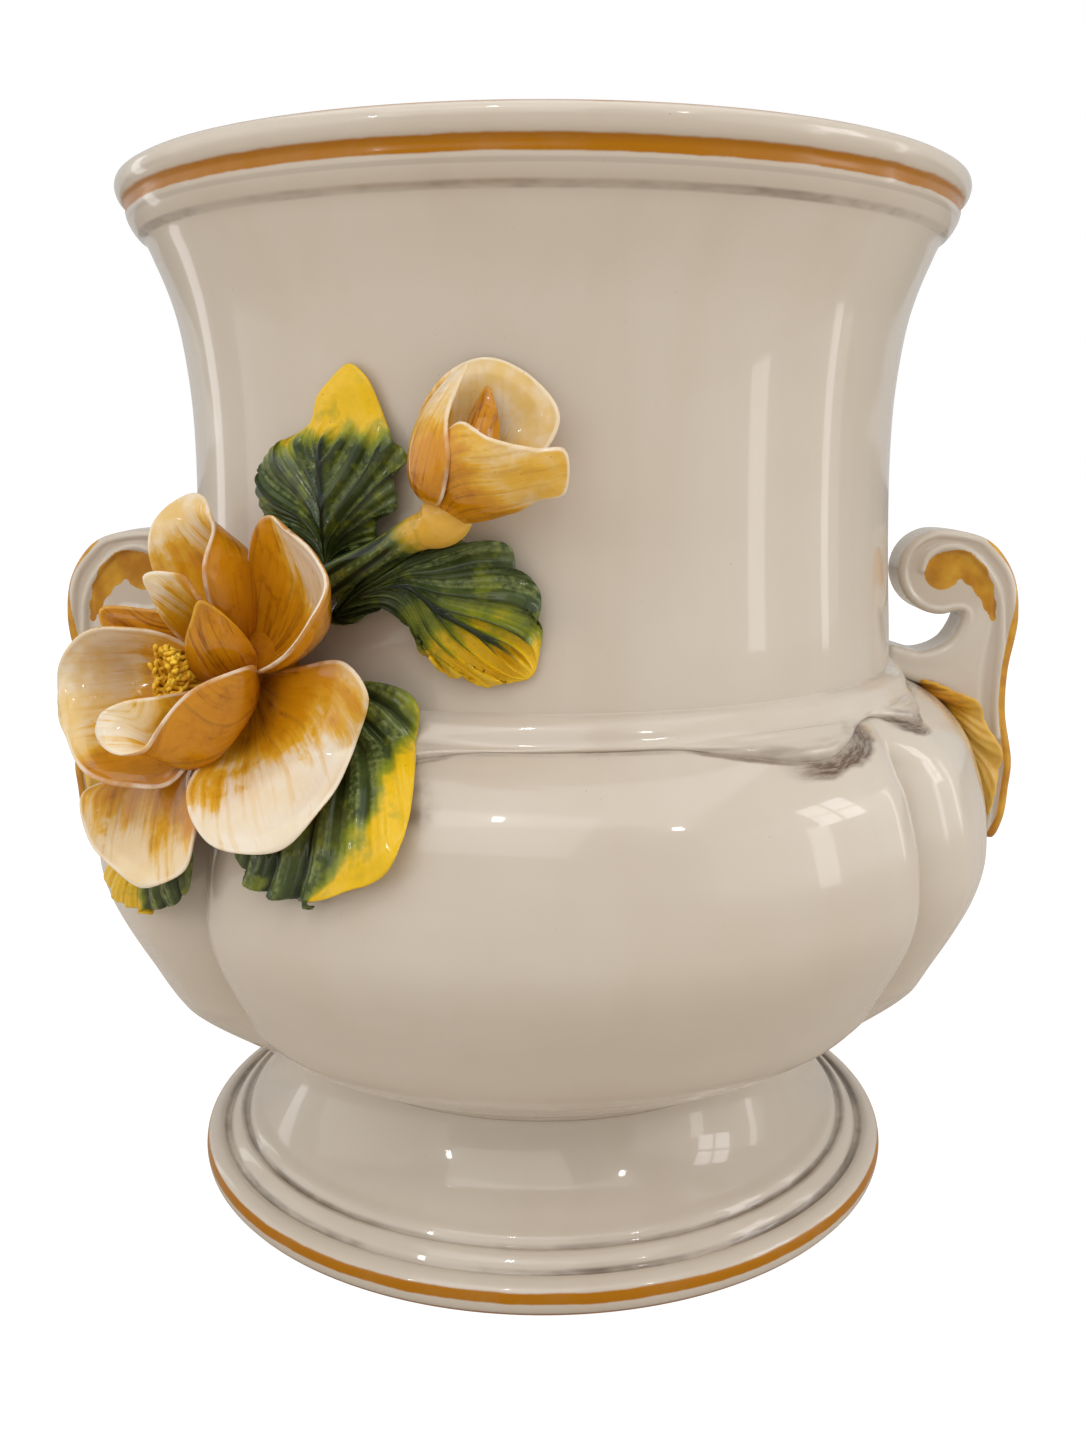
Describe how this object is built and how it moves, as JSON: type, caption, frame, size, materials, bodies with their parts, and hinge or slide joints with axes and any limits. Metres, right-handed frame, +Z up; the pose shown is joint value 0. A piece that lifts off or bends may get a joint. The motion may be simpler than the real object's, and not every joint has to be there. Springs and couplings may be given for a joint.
{
  "type": "cachepot urn",
  "caption": "Glazed ceramic cachepot urn with a flared neck, lobed belly, spreading foot, scroll handles and an applied flower spray.",
  "frame": {"origin": "on the pot's axis, at the level of the standing ring", "axes": "+Z up along the axis, +X towards the right handle, -Y towards the front, where the flower spray is to the left"},
  "size_m": [0.3464, 0.3156, 0.341],
  "materials": {
    "ivory_glaze": "glossy glaze",
    "ochre_glaze": "glossy glaze",
    "petal_glaze": "glossy glaze",
    "bud_glaze": "glossy glaze",
    "stamen_glaze": "glossy glaze",
    "leaf_glaze": "glossy glaze"
  },
  "bodies": {
    "root": {"foot": "ivory_glaze", "belly": "ivory_glaze", "joint_band": "ivory_glaze", "neck": "ivory_glaze", "handle_left": "ivory_glaze", "handle_right": "ivory_glaze", "handle_leaf_left": "ochre_glaze", "handle_leaf_right": "ochre_glaze", "flower_heart": "ochre_glaze", "petal_front_cup": "petal_glaze", "petal_inner_fold": "petal_glaze", "petal_inner_small": "petal_glaze", "petal_right_cup": "petal_glaze", "petal_top": "petal_glaze", "petal_left": "petal_glaze", "petal_lower_right": "petal_glaze", "petal_lower_left": "petal_glaze", "petal_back": "petal_glaze", "bud_petal_front": "bud_glaze", "bud_petal_left": "bud_glaze", "bud_core": "bud_glaze", "bud_petal_back": "bud_glaze", "stamen_tuft": "stamen_glaze", "bud_stem": "leaf_glaze", "leaf_upper": "leaf_glaze", "leaf_right": "leaf_glaze", "leaf_lower_right": "leaf_glaze", "leaf_lower_left": "leaf_glaze"}
  },
  "joints": []
}
